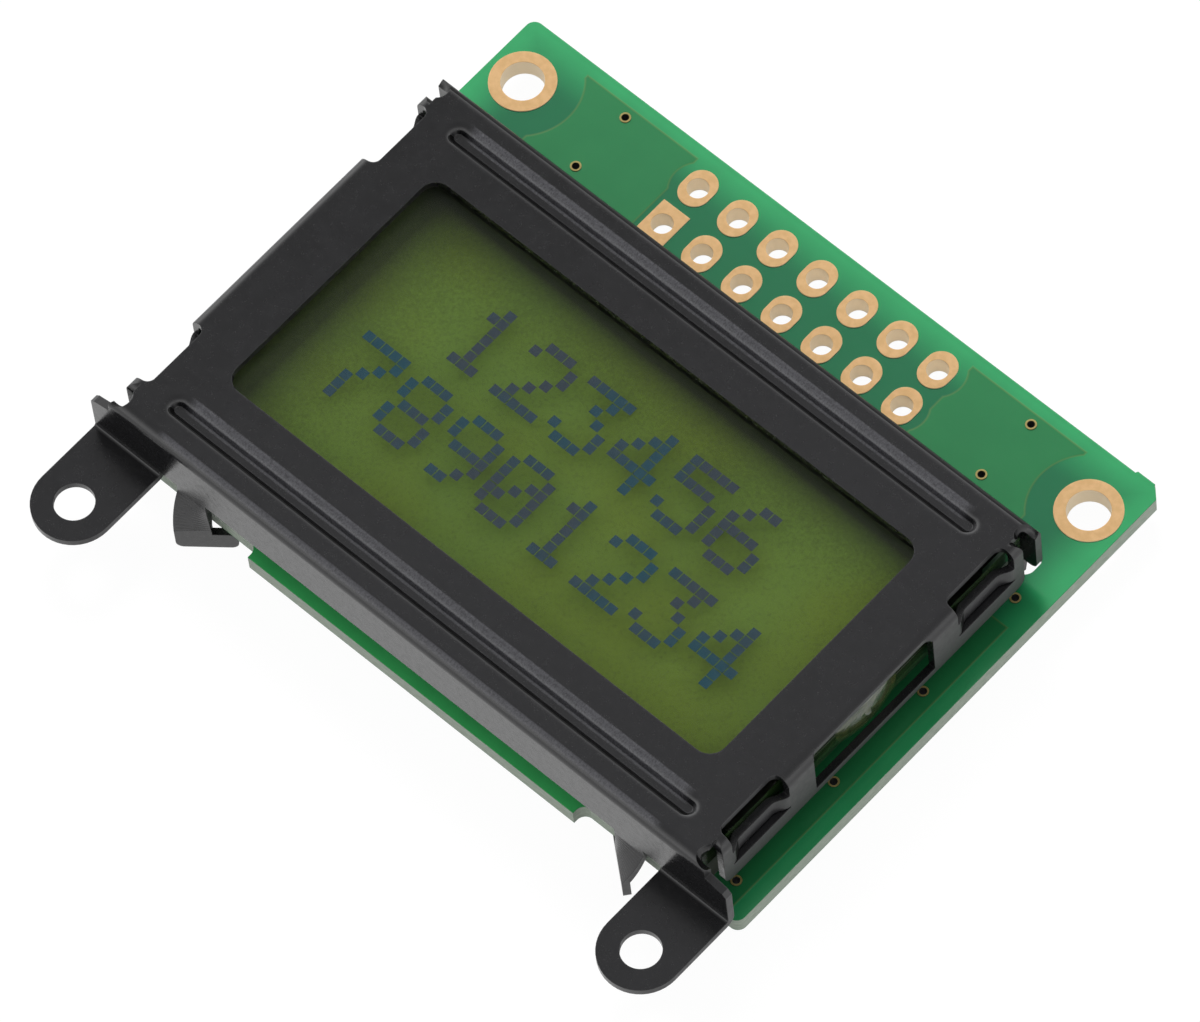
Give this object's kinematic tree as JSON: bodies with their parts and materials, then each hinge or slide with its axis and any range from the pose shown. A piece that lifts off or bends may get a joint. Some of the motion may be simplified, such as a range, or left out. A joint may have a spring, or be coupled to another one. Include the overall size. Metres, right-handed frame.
{
  "type": "character lcd module",
  "caption": "Character LCD module: reflective dot-matrix cell clamped to a green circuit board by a black stamped bezel with twisted lugs, with a solder header and mounting tabs.",
  "frame": {"origin": "middle of the module's footprint, on the plane of the four bezel lug tips", "axes": "+X runs along the display's text, +Y points from the mounting tabs to the header edge, +Z points out of the display"},
  "size_m": [0.0402, 0.0362, 0.0073],
  "materials": {
    "bezel": "semi-gloss black paint with a fine orange peel",
    "circuit_board": "glossy green solder mask over glass-epoxy laminate",
    "mount_ring": "gold-plated copper",
    "header_pad": "gold-plated copper",
    "vias": "gold-plated copper",
    "contact_fingers": "gold-plated copper",
    "contact_strip": "silicone elastomer with conductive layers",
    "front_polariser": "glossy polarising film, olive over the reflector",
    "front_glass": "clear soda-lime glass with greenish edges",
    "cell_seal": "cured epoxy",
    "liquid_crystal": "thin liquid layer",
    "rear_glass": "clear soda-lime glass with greenish edges",
    "rear_polariser": "polarising film",
    "reflector": "satin metallised film",
    "fill_port_plug": "clouded cured resin",
    "controller_blob": "black moulding resin",
    "controller_die": "silicon",
    "solder_fillets": "bright solder",
    "resistor_body": "black glazed alumina",
    "capacitor_body": "tan ceramic",
    "chip_caps": "tinned ends"
  },
  "bodies": {
    "root": {"bezel": "bezel", "circuit_board": "circuit_board", "mount_ring_left": "mount_ring", "mount_ring_right": "mount_ring", "vias": "vias", "contact_fingers_far": "contact_fingers", "contact_fingers_near": "contact_fingers", "contact_strip_far": "contact_strip", "contact_strip_near": "contact_strip", "front_polariser": "front_polariser", "front_glass": "front_glass", "cell_seal": "cell_seal", "liquid_crystal": "liquid_crystal", "rear_glass": "rear_glass", "rear_polariser": "rear_polariser", "reflector": "reflector", "fill_port_plug": "fill_port_plug", "controller_blob": "controller_blob", "controller_die": "controller_die", "solder_fillets": "solder_fillets", "header_pad_1": "header_pad", "header_pad_2": "header_pad", "header_pad_3": "header_pad", "header_pad_4": "header_pad", "header_pad_5": "header_pad", "header_pad_6": "header_pad", "header_pad_7": "header_pad", "header_pad_8": "header_pad", "header_pad_9": "header_pad", "header_pad_10": "header_pad", "header_pad_11": "header_pad", "header_pad_12": "header_pad", "header_pad_13": "header_pad", "header_pad_14": "header_pad", "resistor_body_1": "resistor_body", "resistor_body_2": "resistor_body", "resistor_body_3": "resistor_body", "resistor_body_4": "resistor_body", "resistor_body_5": "resistor_body", "resistor_body_6": "resistor_body", "resistor_caps_1": "chip_caps", "resistor_caps_2": "chip_caps", "resistor_caps_3": "chip_caps", "resistor_caps_4": "chip_caps", "resistor_caps_5": "chip_caps", "resistor_caps_6": "chip_caps", "capacitor_body_1": "capacitor_body", "capacitor_body_2": "capacitor_body", "capacitor_caps_1": "chip_caps", "capacitor_caps_2": "chip_caps"}
  },
  "joints": []
}
